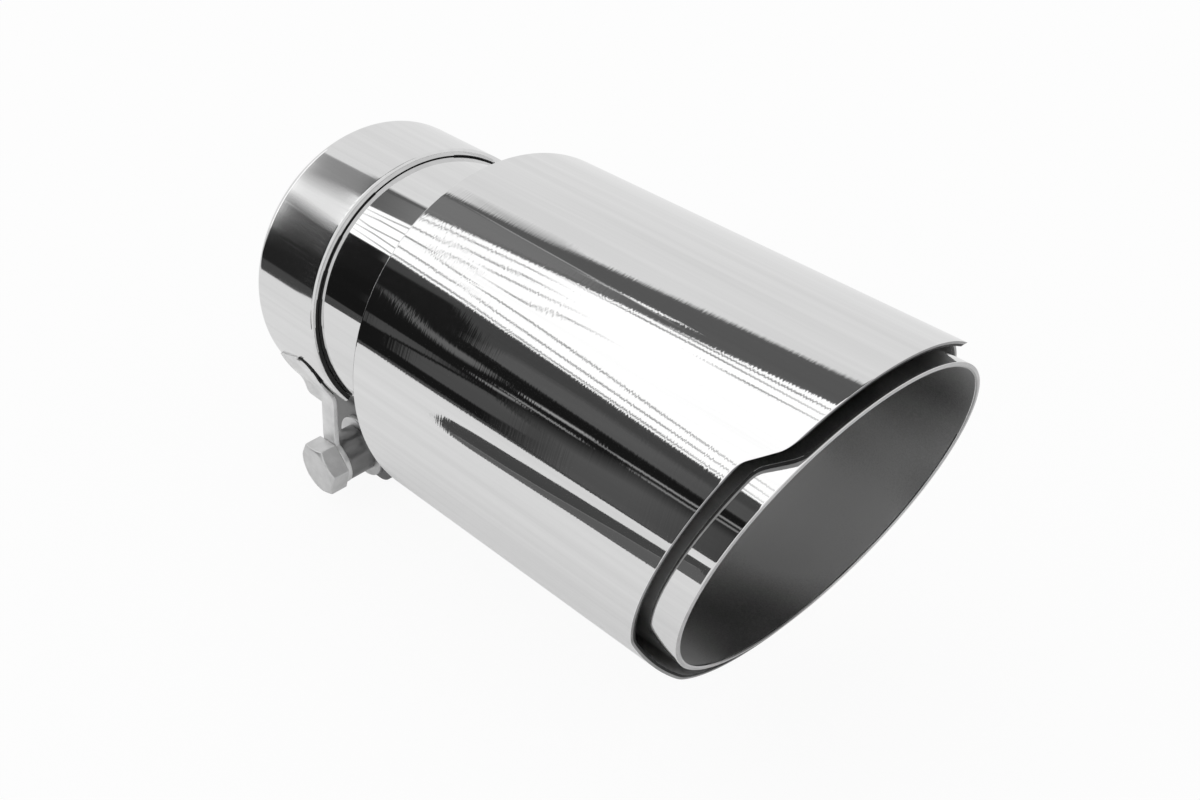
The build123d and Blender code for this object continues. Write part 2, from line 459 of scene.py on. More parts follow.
def dress(piece: Piece, node: str, slot: str, *finishes: "Finish | bpy.types.Material") -> None:
    """Make a piece stand for a node of the frame and give it its materials.

    Args:
        piece: The finished mesh.
        node: The frame's node that it stands for.
        slot: The record's material slot. Not used.
        finishes: Finishes or materials in the order of the faces' material numbers.
    """
    for finish in finishes:
        piece.data.materials.append(finish.material() if isinstance(finish, Finish) else finish)
    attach(piece, ROOT)
    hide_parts(node)
    LOG.info("%s: %d faces", piece.name, len(piece.data.polygons))


def paint_faces(piece: Piece, number: int, wanted: Callable[[Vector, Vector], bool]) -> None:
    """Give the faces that pass a test one material number.

    Args:
        piece: The mesh object.
        number: The material number.
        wanted: Test of a face's centre, in millimetres, and its normal.
    """
    for face in piece.data.polygons:
        if wanted(face.center / MM, face.normal):
            face.material_index = number


@dataclass(frozen=True)
class FrontCut:
    """Slanted front end: the outlet tube's mouth plane and the sleeve's stepped edge, in millimetres."""

    mouth_x: float = 155.6
    angle: float = 22.2
    lip_setback: float = 3.5
    side_setback: float = 9.4
    step_height: float = 33.9
    step_rise: float = 4.4
    lower_lip_setback: float = 1.2
    lower_step_start: float = 18.4
    lower_step_end: float = 34.0
    step_radius: float = 5.0
    step_roll: float = 4.6
    reach: float = 60.0

    @property
    def slope(self) -> float:
        """How far the front moves forward for each millimetre of height."""
        return tan(radians(self.angle))

    def mouth(self, z: float) -> float:
        """Where the mouth plane is at a height."""
        return self.mouth_x + self.slope * z

    def edge_line(self) -> Outline:
        """Side view of the sleeve's edge in the middle plane: three slanted lines and rounded steps.

        Returns:
            Points as x and height, from the bottom up.
        """
        half_rise = self.step_rise / 2
        levels = (
            (self.lower_lip_setback, -self.reach), (self.lower_lip_setback, -self.lower_step_end),
            (self.side_setback, -self.lower_step_start), (self.side_setback, self.step_height - half_rise),
            (self.lip_setback, self.step_height + half_rise), (self.lip_setback, self.reach))
        corners = [(self.mouth_x - setback + self.slope * z, z) for setback, z in levels]
        return [corners[0], *bent(corners, self.step_radius, steps=12), corners[-1]]

    def sleeve_edge(self, radius: float, angle: float) -> float:
        """Where the sleeve's edge is at one angle. The steps lie lower on the far side.

        Args:
            radius: Radius of the surface in millimetres.
            angle: Angle round the pipe in degrees.

        Returns:
            The edge's x in millimetres.
        """
        y = radius * cos(radians(angle))
        z = radius * sin(radians(angle))
        level = z + y * tan(radians(self.step_roll))
        line = self.edge_line()
        for (x0, z0), (x1, z1) in zip(line, line[1:]):
            if z0 <= level <= z1:
                return x0 + (x1 - x0) * (level - z0) / (z1 - z0) + self.slope * (z - level)
        return self.mouth(z)


@dataclass(frozen=True)
class SlantedTube:
    """Round wall whose front end is cut at a slant, in millimetres.

    The cut edge has two finishes. rim_share is the outer one's share of the wall.
    """

    front: FrontCut
    radius: float = 44.45
    wall: float = 1.2
    edge: float = 0.16
    support: float = 0.25
    facets: int = 960
    rim_start: float = 100.0
    rim_normal: float = 0.35
    rim_share: float = 1 / 2

    @property
    def inner_radius(self) -> float:
        """Radius of the wall's inside."""
        return self.radius - self.wall

    def rim(self, rear_x: float, outer_x: float, inner_x: float) -> Outline:
        """Section of the cut edge, with support points that keep its rounded corners crisp.

        Args:
            rear_x: Any x behind the edge.
            outer_x: Where its outer corner is.
            inner_x: Where its inner corner is.

        Returns:
            Points as x and radius, from the outside to the inside.
        """
        reach, share = self.edge + self.support, self.rim_share
        outer, inner = (outer_x, self.radius), (inner_x, self.inner_radius)
        division = tuple((1 - share) * a + share * b for a, b in zip(outer, inner))
        return [(outer_x - reach, self.radius), *rounded([(rear_x, self.radius), outer, inner], self.edge),
                division, *rounded([outer, inner, (rear_x, self.inner_radius)], self.edge),
                (inner_x - reach, self.inner_radius)]

    def is_rim(self, centre: Vector, normal: Vector) -> bool:
        """Whether a face belongs to the cut edge."""
        return (normal.x > self.rim_normal and centre.x > self.rim_start
                and hypot(centre.y, centre.z) > self.inner_radius)

    def is_outer_rim(self, centre: Vector, normal: Vector) -> bool:
        """Whether a face belongs to the cut edge's outer part."""
        outer_part = hypot(centre.y, centre.z) > self.radius - self.wall * self.rim_share
        return outer_part and self.is_rim(centre, normal)


@dataclass(frozen=True)
class Sleeve(SlantedTube):
    """Outer wall with its drawn-in rear end and stepped front, in millimetres."""

    rear_x: float = 50.5
    hole_radius: float = 34.2
    inner_bend: float = 0.2
    outer_bend: float = 0.38
    # Painted shade: rear-corner faces on the camera's side, below this share of the radius in height, are
    # painted near-black.
    painted_shade_reach: float = 0.75
    painted_shade_normal: float = -0.1

    def section(self, angle: float) -> Outline:
        """Closed outline of the wall at one angle.

        Args:
            angle: Angle round the pipe in degrees.

        Returns:
            Points as x and radius.
        """
        inner, back, bend = self.inner_radius, self.rear_x, self.outer_bend
        outer_x, inner_x = (self.front.sleeve_edge(radius, angle) for radius in (self.radius, inner))
        inner_centre = (back + self.wall + self.inner_bend, inner - self.inner_bend)
        return [(back, self.hole_radius), (back, self.radius - bend - self.support),
                *arc((back + bend, self.radius - bend), bend, 180, 90, steps=14),
                (back + bend + self.support, self.radius), *self.rim(back, outer_x, inner_x),
                (back + bend + self.wall, inner), *arc(inner_centre, self.inner_bend, 90, 180, steps=4),
                (back + self.wall, self.hole_radius)]

    def is_inside(self, centre: Vector, normal: Vector) -> bool:
        """Whether a face belongs to the wall's inside."""
        return (hypot(centre.y, centre.z) < self.inner_radius + HAIR
                and centre.x > self.rear_x + self.wall / 2)

    def is_rear_painted_shade(self, centre: Vector, normal: Vector) -> bool:
        """Whether a face of the rear corner, on the camera's side, gets near-black painted shade that hides
        its highlight.
        """
        return (centre.x < self.rear_x + self.wall and normal.x < self.painted_shade_normal
                and hypot(centre.y, centre.z) > self.inner_radius
                and centre.y < 0 and abs(centre.z) < self.radius * self.painted_shade_reach)

    def build(self, finish: Finish, inside: Finish, edge: Finish, painted_shade: Finish) -> None:
        """Build and dress the sleeve.

        Args:
            finish: Finish of the outside.
            inside: Finish of the inside.
            edge: Finish of the outer half of the cut front edge.
            painted_shade: Near-black finish of the painted shade on its inner half and on the rear corner's
                camera side.
        """
        piece = revolved("sleeve_shell", self.section, even_angles(self.facets))
        dress(piece, "outer_sleeve", "sleeve_steel", finish, inside, edge, painted_shade)
        # Material 3 is painted shade: near-black on the rear corner's camera side and on the inner half of
        # the cut front edge.
        for number, wanted in ((1, self.is_inside), (3, self.is_rear_painted_shade), (3, self.is_rim),
                               (2, self.is_outer_rim)):
            paint_faces(piece, number, wanted)


@dataclass(frozen=True)
class OutletTube(SlantedTube):
    """Inner wall: lap over the neck, cone, straight run and slanted mouth, in millimetres."""

    radius: float = 41.0
    edge: float = 0.4
    facets: int = 480
    rim_share: float = 2 / 3
    lap_x: float = 54.7
    lap_length: float = 9.0
    lap_radius: float = 34.2
    cone_length: float = 19.0
    cone_round: float = 3.0
    inside_normal: float = -0.2

    def section(self, angle: float) -> Outline:
        """Closed outline of the wall at one angle.

        Args:
            angle: Angle round the pipe in degrees.

        Returns:
            Points as x and radius.
        """
        height = sin(radians(angle))
        inner, lap_top = self.inner_radius, self.lap_radius + self.wall
        outer_x, inner_x = self.front.mouth(self.radius * height), self.front.mouth(inner * height)
        cone_start = self.lap_x + self.lap_length
        cone_end = cone_start + self.cone_length
        outside = [(self.lap_x, lap_top), (cone_start, lap_top), (cone_end, self.radius),
                   (outer_x, self.radius)]
        inside = [(inner_x, inner), (cone_end, inner), (cone_start, self.lap_radius),
                  (self.lap_x, self.lap_radius)]
        return [outside[0], *rounded(outside, self.cone_round, steps=6),
                *self.rim(cone_end, outer_x, inner_x),
                *rounded(inside, self.cone_round, steps=6), inside[-1]]

    def is_inside(self, centre: Vector, normal: Vector) -> bool:
        """Whether a face belongs to the wall's inside, behind the rim.

        Args:
            centre: Centre of the face in millimetres.
            normal: Its normal.

        Returns:
            True for the inside.
        """
        away = Vector((0, centre.y, centre.z)).normalized()
        rim_x = self.front.mouth(self.inner_radius * away.z) - self.edge - self.support / 2
        return normal.dot(away) < self.inside_normal and centre.x < rim_x

    def build(self, finish: Finish, inside: Finish, edge: Finish) -> None:
        """Build and dress the outlet tube.

        Args:
            finish: Finish of the outside.
            inside: Finish of the inside and of the rim's inner third.
            edge: Finish of the rest of the cut rim.
        """
        piece = revolved("outlet_tube_shell", self.section, even_angles(self.facets))
        dress(piece, "outlet_tube", "outlet_steel", finish, inside, edge)
        for number, wanted in ((1, self.is_inside), (1, self.is_rim), (2, self.is_outer_rim)):
            paint_faces(piece, number, wanted)


@dataclass(frozen=True)
class InletTube:
    """Plain neck with the slit that lets the clamp close it, in millimetres."""

    outer_radius: float = 34.1
    wall: float = 1.5
    length: float = 63.7
    edge: float = 0.3
    facets: int = 360
    slit_width: float = 4.0
    slit_length: float = 28.7
    slit_angle: float = 216.0

    def section(self, angle: float) -> Outline:
        """Closed outline of the wall, with support points next to its ends.

        Args:
            angle: Angle round the pipe in degrees, which changes nothing here.

        Returns:
            Points as x and radius.
        """
        inner, outer = self.outer_radius - self.wall, self.outer_radius
        near, far = 2 * self.edge, self.length - 2 * self.edge
        points = softened([(0.0, inner), (0.0, outer), (self.length, outer), (self.length, inner)], self.edge)
        half = len(points) // 2
        return points[:half] + [(near, outer), (far, outer)] + points[half:] + [(far, inner), (near, inner)]

    def slot(self) -> Piece:
        """Cutter for the slit: a slot with a round end.

        Returns:
            The cutter's mesh object.
        """
        half = self.slit_width / 2
        outline = [(-self.wall, -half), *arc((self.slit_length - half, 0.0), half, -90, 90, steps=16),
                   (-self.wall, half)]
        turn = Matrix.Rotation(radians(self.slit_angle - 90.0), 4, "X")
        heights = (self.outer_radius - 2 * self.wall, self.outer_radius + self.wall)
        return lofted("slit_cutter", [[turn @ Vector((x, y, height)) for x, y in outline]
                                      for height in heights])

    def build(self, finish: Finish) -> None:
        """Build and dress the inlet tube.

        Args:
            finish: Finish of the whole tube.
        """
        piece = revolved("neck_shell", self.section, even_angles(self.facets))
        cut(piece, self.slot())
        dress(piece, "inlet_tube", "inlet_steel", finish)


@dataclass(frozen=True)
class BoltLine:
    """Where the clamp's bolt runs and what sits on it, in millimetres."""

    x: float = 10.5
    z: float = -42.3
    head_y: float = -37.3
    near_ear_y: float = -32.0
    spacer_y: float = -30.5
    washer_y: float = -23.6
    far_ear_y: float = -22.0
    nut_y: float = -20.2
    end_y: float = -10.1

    def place(self, y: float) -> Matrix:
        """Frame on the bolt's axis at y, whose X points along +Y, Y up and Z along +X."""
        turn = Matrix(((0, 0, 1), (1, 0, 0), (0, 1, 0))).to_4x4()
        return Matrix.Translation((self.x, y, self.z)) @ turn


def sheet_ring(middle: Vector, outward: Vector, start_x: float, end_x: float, wall: float,
               edge: float = 0.3) -> list[Vector]:
    """Rounded rectangle of a sheet that is cut across.

    Args:
        middle: Point on the sheet's middle line.
        outward: Direction out of the sheet.
        start_x: Rear edge.
        end_x: Front edge.
        wall: Thickness of the sheet.
        edge: Rounding of the edges.

    Returns:
        The points in millimetres.
    """
    half = wall / 2
    edge = min(edge, wall * MOST_ROUNDING, max(HAIR, (end_x - start_x) * MOST_ROUNDING))
    outline = softened([(start_x, -half), (end_x, -half), (end_x, half), (start_x, half)], edge)
    return [middle + Vector((x, 0, 0)) + outward * out for x, out in outline]


def run_at(line: list[Vector], index: int) -> Vector:
    """Direction of a line at one of its points."""
    return (line[min(len(line) - 1, index + 1)] - line[max(0, index - 1)]).normalized()


@dataclass(frozen=True)
class NearEar:
    """Ear strap on the hoop's outside, its narrow tongue and the eye, in millimetres."""

    bolt: BoltLine
    wall: float = 1.5
    middle_radius: float = 36.7
    end_angle: float = 192.0
    leave_angle: float = 212.0
    root_run: float = 3.4
    bend_radius: float = 7.0
    straight_z: float = -35.0
    top_z: float = -8.8
    end_slope: float = 20.0
    peak_reach: float = 1.0
    # Faces above this height that face forward or up are painted near-black as the shadow where the ear meets
    # the hoop.
    dark_z: float = -21.0
    dark_facing: float = 0.8
    front_reach: float = 4.5
    front_z: float = -15.0
    rear_reach: float = 11.7
    rear_z: float = -18.0
    corner_radius: float = 4.0
    shoulder_reach: float = 9.5
    shoulder_z: float = -25.4
    shoulder_radius: float = 2.0
    tongue_width: float = 5.4
    tongue_top_z: float = -22.0
    end_wall: float = 0.25
    taper: float = 24.0
    eye_radius: float = 6.4
    least_reach: float = 0.1
    least_drop: float = 1e-6

    def line(self) -> Outline:
        """Middle line of the strap as y and z, from its end on the hoop to the eye's lowest point.

        Returns:
            The points of the line.
        """
        angle = radians(self.leave_angle)
        leave = (self.middle_radius * cos(angle), self.middle_radius * sin(angle))
        knee = (leave[0] - self.root_run * sin(angle), leave[1] + self.root_run * cos(angle))
        hang_y = self.bolt.near_ear_y + self.wall / 2
        foot = (hang_y, self.bolt.z - self.eye_radius)
        return [*arc((0.0, 0.0), self.middle_radius, self.end_angle, self.leave_angle, steps=60),
                *bent([leave, knee, (hang_y, self.straight_z), foot], self.bend_radius, steps=14), foot]

    def rear_side(self) -> Outline:
        """Rear edge from the top down.

        Returns:
            Height and distance behind the bolt of each point.
        """
        half = self.tongue_width / 2
        rear_top = self.top_z - (self.rear_reach - self.peak_reach) * tan(radians(self.end_slope))
        shoulder = [(self.rear_z, self.rear_reach), (self.shoulder_z, self.shoulder_reach),
                    (self.shoulder_z, half)]
        return [(self.top_z, self.peak_reach), (rear_top, self.rear_reach), shoulder[0],
                *rounded(shoulder, self.shoulder_radius, steps=10), (self.shoulder_z - HAIR, half)]

    def front_side(self) -> Outline:
        """Front edge from the top down.

        Returns:
            Height and distance in front of the bolt of each point.
        """
        centre = (self.top_z - self.corner_radius, self.front_reach - self.corner_radius)
        return [*arc(centre, self.corner_radius, 0, 90, steps=14), (self.front_z, self.front_reach),
                (self.tongue_top_z, self.tongue_width / 2)]

    def reach_at(self, side: Outline, z: float) -> float:
        """How far one edge lies from the bolt's line at a height.

        Args:
            side: The edge, from the top down to the tongue.
            z: Height in millimetres.

        Returns:
            The distance along the pipe in millimetres.
        """
        for (upper_z, upper), (lower_z, lower) in zip(side, side[1:]):
            if lower_z <= z <= upper_z and upper_z - lower_z > self.least_drop:
                return upper + (lower - upper) * (upper_z - z) / (upper_z - lower_z)
        if z >= side[-1][0]:
            return side[0][1]
        drop = z - self.bolt.z
        eye = sqrt(max(0.0, self.eye_radius**2 - drop * drop))
        return max(eye, self.tongue_width / 2 if drop > 0 else self.least_reach)

    def stations(self) -> list[Vector]:
        """Points of the middle line, with close steps where the outline turns.

        Returns:
            The points in the plane x = 0, from the top down.
        """
        line = self.line()
        heights = [z for z, _ in self.rear_side() + self.front_side()]
        heights += [self.bolt.z + self.eye_radius * cos(radians(angle)) for angle in range(4, 180, 4)]
        points = []
        for (y0, z0), (y1, z1) in zip(line, line[1:]):
            for z in sorted([z for z in heights if z1 < z < z0] + [z0], reverse=True):
                if z <= self.top_z:
                    points.append(Vector((0, y0 + (y1 - y0) * (z0 - z) / max(self.least_drop, z0 - z1), z)))
        return [*points, Vector((0, *line[-1]))]

    def build(self) -> Piece:
        """Build the ear. Its sheet is thinner towards the top, on the hoop.

        Returns:
            The ear's mesh object.
        """
        points = self.stations()
        rear, front = self.rear_side(), self.front_side()
        rings = []
        for index, point in enumerate(points):
            run = run_at(points, index)
            outward = Vector((0, run.z, -run.y))
            wall = self.wall * min(1.0, self.end_wall + (self.top_z - point.z) / self.taper)
            rings.append(sheet_ring(point - outward * (self.wall - wall) / 2, outward,
                                    self.bolt.x - self.reach_at(rear, point.z),
                                    self.bolt.x + self.reach_at(front, point.z), wall))
        return lofted("near_ear", rings)

    def is_painted_shadow(self, centre: Vector, normal: Vector) -> bool:
        """Whether a face gets the near-black painted shadow along the top of the part on the hoop, where it
        meets the hoop.
        """
        return centre.z > self.dark_z and normal.x + normal.z > self.dark_facing


@dataclass(frozen=True)
class ClampBand:
    """Hoop with a drawn-in rear edge, its near ear strap and its far ear, in millimetres."""

    bolt: BoltLine
    near: NearEar
    inner_radius: float = 34.15
    wall: float = 1.8
    rear_x: float = -4.4
    width: float = 25.4
    rear_inner: float = 32.9
    rear_bend: float = 0.4
    rear_round: float = 0.5
    front_round: float = 0.7
    front_rows: int = 6
    inner_round: float = 0.2
    support: float = 0.3
    front_support: float = 1.0
    overlap: float = 0.3
    far_bend_radius: float = 2.4
    far_drop: float = 8.9
    far_corner: float = 6.0
    hole_radius: float = 4.3
    drill_length: float = 30.0
    drill_facets: int = 48
    front_normal: float = 0.3
    dark_share: float = 0.45
    dark_growth: float = 0.42
    dark_least: float = 0.35
    dark_most: float = 0.86

    @property
    def middle_radius(self) -> float:
        """Radius of the hoop's middle line."""
        return self.inner_radius + self.wall / 2

    def section(self) -> Outline:
        """Closed outline of the hoop's sheet, from its drawn-in edge over the outside.

        Returns:
            Points as x and radius.
        """
        inner, outer = self.inner_radius, self.inner_radius + self.wall
        back, front, inside = self.rear_x, self.rear_x + self.width, self.rear_x + self.wall
        bend = self.rear_bend + self.wall
        lip = [(inside, outer), (inside, self.rear_inner), (back, self.rear_inner), (back, outer)]
        flat = self.wall - self.front_round - self.inner_round
        return [*rounded(lip[1:], self.rear_round),
                *arc((back + bend, outer - bend), bend, 180, 90, steps=18),
                (back + bend + self.support, outer), (front - self.front_round - self.support, outer),
                *arc((front - self.front_round, outer - self.front_round), self.front_round, 90, 0, steps=12),
                *[(front, outer - self.front_round - flat * row / self.front_rows)
                  for row in range(1, self.front_rows)],
                *rounded([(front, outer), (front, inner), (inside, inner)], self.inner_round),
                (front - self.front_support, inner), (inside + self.rear_bend + self.support, inner),
                *arc((inside + self.rear_bend, inner - self.rear_bend), self.rear_bend, 90, 180, steps=8),
                *rounded(lip[:3], self.rear_round)]

    def far_bend_centre(self) -> Station:
        """Centre of the bend between the hoop and the far ear, as y and z."""
        y = self.bolt.far_ear_y + self.wall / 2 + self.far_bend_radius
        return y, -sqrt((self.middle_radius + self.far_bend_radius) ** 2 - y * y)

    def make_hoop(self) -> Piece:
        """Hoop from where the near ear leaves it round to the far bend.

        Returns:
            The hoop's mesh object.
        """
        bend_y, bend_z = self.far_bend_centre()
        end = degrees(atan2(bend_z, bend_y)) - self.overlap
        section = self.section()
        return lofted("hoop", [[Vector((x, y * radius, z * radius)) for x, radius in section]
                               for y, z in arc((0.0, 0.0), 1.0, self.near.leave_angle, end, steps=330)])

    def make_far_ear(self) -> Piece:
        """Far ear from its rounded lower end up and round the bend to the hoop.

        Returns:
            The ear's mesh object.
        """
        corner_z = self.bolt.z - self.far_drop + self.far_corner
        far_y = self.bolt.far_ear_y + self.wall / 2
        bend_y, bend_z = self.far_bend_centre()
        meet = degrees(atan2(-bend_z, -bend_y))
        line = [Vector((0, far_y, corner_z - self.far_corner * cos(radians(a)))) for a in range(0, 91, 5)]
        bend = arc((bend_y, bend_z), self.far_bend_radius, 180, meet, steps=12)
        line += [Vector((0, y, z)) for y, z in bend]
        rings = []
        for index, point in enumerate(line):
            run = run_at(line, index)
            short = max(0.0, corner_z - point.z)
            inset = self.far_corner - sqrt(max(0.0, self.far_corner**2 - short * short))
            rings.append(sheet_ring(point, Vector((0, -run.z, run.y)), self.rear_x + inset,
                                    self.rear_x + self.width - inset, self.wall))
        return lofted("far_ear", rings)

    def is_painted_shade_edge(self, centre: Vector, normal: Vector) -> bool:
        """Whether a face belongs to the near-black painted shade on the inner part of the hoop's front edge,
        where the gap under it is in shadow.

        Args:
            centre: Centre of the face in millimetres.
            normal: Its normal.

        Returns:
            True for the painted shade, which is wide at the bottom and narrow at the top.
        """
        depth = self.inner_radius + self.wall - hypot(centre.y, centre.z)
        share = self.dark_share + self.dark_growth * centre.z / self.inner_radius
        limit = self.wall * min(self.dark_most, max(self.dark_least, share))
        return normal.x > self.front_normal and centre.x > 0 and depth > limit

    def drill(self) -> Piece:
        """Cutter for the bolt hole in both ears."""
        rings = [[round_x(x, self.hole_radius, angle) for angle in even_angles(self.drill_facets)]
                 for x in (0.0, self.drill_length)]
        return lofted("ear_drill", rings, self.bolt.place(self.bolt.head_y))

    def build(self, finish: Finish, ear_finish: Finish, far_finish: Finish, painted_shade_finish: Finish) -> None:
        """Build and dress the band.

        Args:
            finish: Finish of the hoop.
            ear_finish: Finish of the near ear.
            far_finish: Finish of the far ear, darkened as painted shade between the ears.
            painted_shade_finish: Near-black finish of the painted shade on the hoop's front edge and of the
                painted shadow along the near ear's top.
        """
        hoop, near, far = self.make_hoop(), self.near.build(), self.make_far_ear()
        # edge is the near-black material of the painted shade and painted shadow.
        edge = painted_shade_finish.material()
        for part, *materials in ((hoop, finish.material(), edge), (near, ear_finish.material(), edge),
                                 (far, far_finish.material())):
            if part is not hoop:
                cut(part, self.drill())
            for material in materials:
                part.data.materials.append(material)
        # Painted shade on the hoop's front edge and painted shadow along the near ear's top.
        paint_faces(hoop, 1, self.is_painted_shade_edge)
        paint_faces(near, 1, self.near.is_painted_shadow)
        join(hoop, near, far)
        dress(hoop, "clamp_band", "band_steel")


@dataclass(frozen=True)
class Fasteners:
    """Bolt, spacer, washer and nut of the clamp, in millimetres."""

    bolt: BoltLine
    across_flats: float = 13.0
    head_height: float = 5.3
    turn: float = 25.0
    corner: float = 0.7
    soft: float = 0.3
    shank_radius: float = 4.0
    thread_pitch: float = 1.25
    thread_depth: float = 0.45
    thread_flank: float = 1.25
    thread_root: float = 0.125
    thread_steps: int = 14
    shank_facets: int = 72
    ring_facets: int = 120
    end_chamfer: float = 0.9
    nut_height: float = 6.5
    nut_bore: float = 4.02
    closed_bore: float = 0.001
    spacer_radius: float = 6.3
    ring_bore: float = 4.2
    washer_radius: float = 8.5
    washer_thickness: float = 1.6
    chamfer_angle: float = 30.0
    chamfer_start: float = 0.95
    side_start: float = 5.0
    side_step: float = 2.5

    def hex_radius(self, angle: float) -> float:
        """Distance from the axis to the hexagon's side, with rounded corners.

        Args:
            angle: Angle in degrees from a corner of the hexagon.

        Returns:
            The distance in millimetres.
        """
        flat = self.across_flats / 2
        off = abs((angle % 60.0) - 30.0)
        if off <= degrees(atan2((flat - self.corner) * tan(radians(30)), flat)):
            return flat / cos(radians(off))
        reach = (flat - self.corner) / cos(radians(30))
        lean = radians(30.0 - off)
        return reach * cos(lean) + sqrt(self.corner**2 - (reach * sin(lean)) ** 2)

    def hex_angles(self) -> list[float]:
        """Angles of the hexagon's sections, closer together at its corners.

        Returns:
            Angles in degrees, in rising order.
        """
        count = int((60.0 - 2 * self.side_start) / self.side_step) + 1
        local = [*range(-3, 4)] + [self.side_start + self.side_step * index for index in range(count)]
        return sorted({(60.0 * side + angle + self.turn) % 360.0 for side in range(6) for angle in local})

    def hexagon(self, name: str, y: float, height: float, bore: float, both_ends: bool) -> Piece:
        """Hexagon head or nut.

        Args:
            name: Name of the piece.
            y: Where its outer face lies.
            height: Length along the bolt.
            bore: Radius of the hole.
            both_ends: Whether the inner face is chamfered too.

        Returns:
            The object.
        """
        face = self.chamfer_start * self.across_flats / 2

        def section(angle: float) -> Outline:
            """Closed outline at one angle.

            Args:
                angle: Angle round the bolt in degrees.

            Returns:
                Points as x and radius, from the outer face at x = 0.
            """
            reach = self.hex_radius(angle - self.turn)
            drop = (reach - face) * tan(radians(self.chamfer_angle))
            end = [(height - drop, reach), (height, face)] if both_ends else [(height, reach)]
            line = [(0.0, 0.0), (0.0, face), (drop, reach), *end, (height, 0.0)]
            return [(0.0, bore), (0.0, face - self.soft), *rounded(line, self.soft), (height, bore)]

        return revolved(name, section, self.hex_angles(), self.bolt.place(y))

    def thread_radius(self, x: float, angle: float, end: float) -> float:
        """Radius of the thread's surface.

        Args:
            x: Distance along the bolt.
            angle: Angle round it in degrees.
            end: Where the bolt ends, for its chamfer.

        Returns:
            The radius in millimetres.
        """
        phase = (x / self.thread_pitch - angle / 360.0) % 1.0
        ridge = min(1.0, max(0.0, abs(2 * phase - 1) * self.thread_flank - self.thread_root))
        return min(self.shank_radius - self.thread_depth * ridge,
                   self.shank_radius - self.end_chamfer + (end - x))

    def make_bolt(self) -> Piece:
        """Hexagon head, plain shank and threaded end.

        Returns:
            The bolt's mesh object.
        """
        head = self.hexagon("bolt_head", self.bolt.head_y, self.head_height, self.closed_bore, False)
        start = self.bolt.near_ear_y
        length = self.bolt.end_y - start
        plain = self.bolt.far_ear_y - start
        steps = ceil((length - plain) / (self.thread_pitch / self.thread_steps))
        stops = [0.0, plain - HAIR] + [plain + (length - plain) * step / steps for step in range(steps + 1)]
        rings = [[round_x(x, self.shank_radius if x < plain else self.thread_radius(x, angle, length), angle)
                  for angle in even_angles(self.shank_facets)] for x in stops]
        join(head, lofted("bolt_shank", rings, self.bolt.place(start), sharp=40.0))
        head.name = "hexagon_bolt"
        return head

    def ring(self, name: str, y: float, outer: float, length: float) -> Piece:
        """Turned ring on the bolt with broken edges.

        Args:
            name: Name of the piece.
            y: Where it starts.
            outer: Outer radius.
            length: Length along the bolt.

        Returns:
            The object.
        """
        bore = self.ring_bore
        outline = softened([(0.0, bore), (0.0, outer), (length, outer), (length, bore)], self.soft)
        return revolved(name, lambda angle: outline, even_angles(self.ring_facets), self.bolt.place(y))

    def build(self, steel: Finish, spacer_steel: Finish) -> None:
        """Build and dress the four fasteners.

        Args:
            steel: Finish of the bolt, washer and nut.
            spacer_steel: Finish of the spacer, dark grey as painted shade between the ears.
        """
        line, satin = self.bolt, steel.material()
        dress(self.make_bolt(), "clamp_bolt", "fastener_steel", satin)
        spacer = self.ring("turned_spacer", line.spacer_y, self.spacer_radius, line.washer_y - line.spacer_y)
        dress(spacer, "clamp_spacer", "spacer_steel", spacer_steel)
        washer = self.ring("flat_washer", line.washer_y, self.washer_radius, self.washer_thickness)
        dress(washer, "clamp_washer", "fastener_steel", satin)
        nut = self.hexagon("hexagon_nut", line.nut_y, self.nut_height, self.nut_bore, True)
        dress(nut, "clamp_nut", "fastener_steel", satin)


@dataclass(frozen=True)
class WeldSeam:
    """Fillet weld round the neck, with the overlapping ripples of a hand-laid bead, in millimetres."""

    name: str
    node: str
    wall_x: float
    leg: float
    tube_radius: float = 34.15
    bulge: float = 0.6
    ripples: int = 96
    ripple_steps: int = 8
    ripple_depth: float = 0.09
    sink_share: float = 0.7

    def section(self, angle: float) -> Outline:
        """Closed outline of the bead at one angle.

        Args:
            angle: Angle round the pipe in degrees.

        Returns:
            Points as x and radius.
        """
        phase = (angle * self.ripples / 360.0) % 1.0
        sink = self.ripple_depth * (1 - sqrt(max(0.0, 1 - (2 * phase - 1) ** 2)))
        corner = Vector((self.wall_x, self.tube_radius))
        top, foot = corner + Vector((0, self.leg)), corner - Vector((self.leg, 0))
        crown = corner + Vector((-1, 1)) * self.bulge * self.leg - Vector((1, 1)) * sink * self.sink_share
        return [tuple(corner), *curve(foot, crown * 2 - (top + foot) / 2, top, steps=10)]

    def build(self, steel: Finish) -> None:
        """Build and dress the seam."""
        piece = revolved(self.name, self.section, even_angles(self.ripples * self.ripple_steps), sharp=50.0)
        dress(piece, self.node, "weld_steel", steel)


def put_in_studio(name: str, level: float, vertices: list[Iterable[float]], covers: list[float],
                  faces: list[tuple[int, ...]]) -> None:
    """Make a glowing sheet that only reflections show.

    Args:
        name: Name of the sheet and its material.
        level: Its glow.
        vertices: Points in metres.
        covers: How solid the sheet is at each point, from 0 to 1.
        faces: Faces as point numbers.
    """
    made = add_mesh(name, vertices, faces)
    made.data.attributes.new(COVER, "FLOAT", "POINT").data.foreach_set("value", covers)
    made.data.materials.append(StudioGlow(name, level).material())
    made.visible_camera = False
    made.visible_diffuse = False
    made.visible_shadow = False


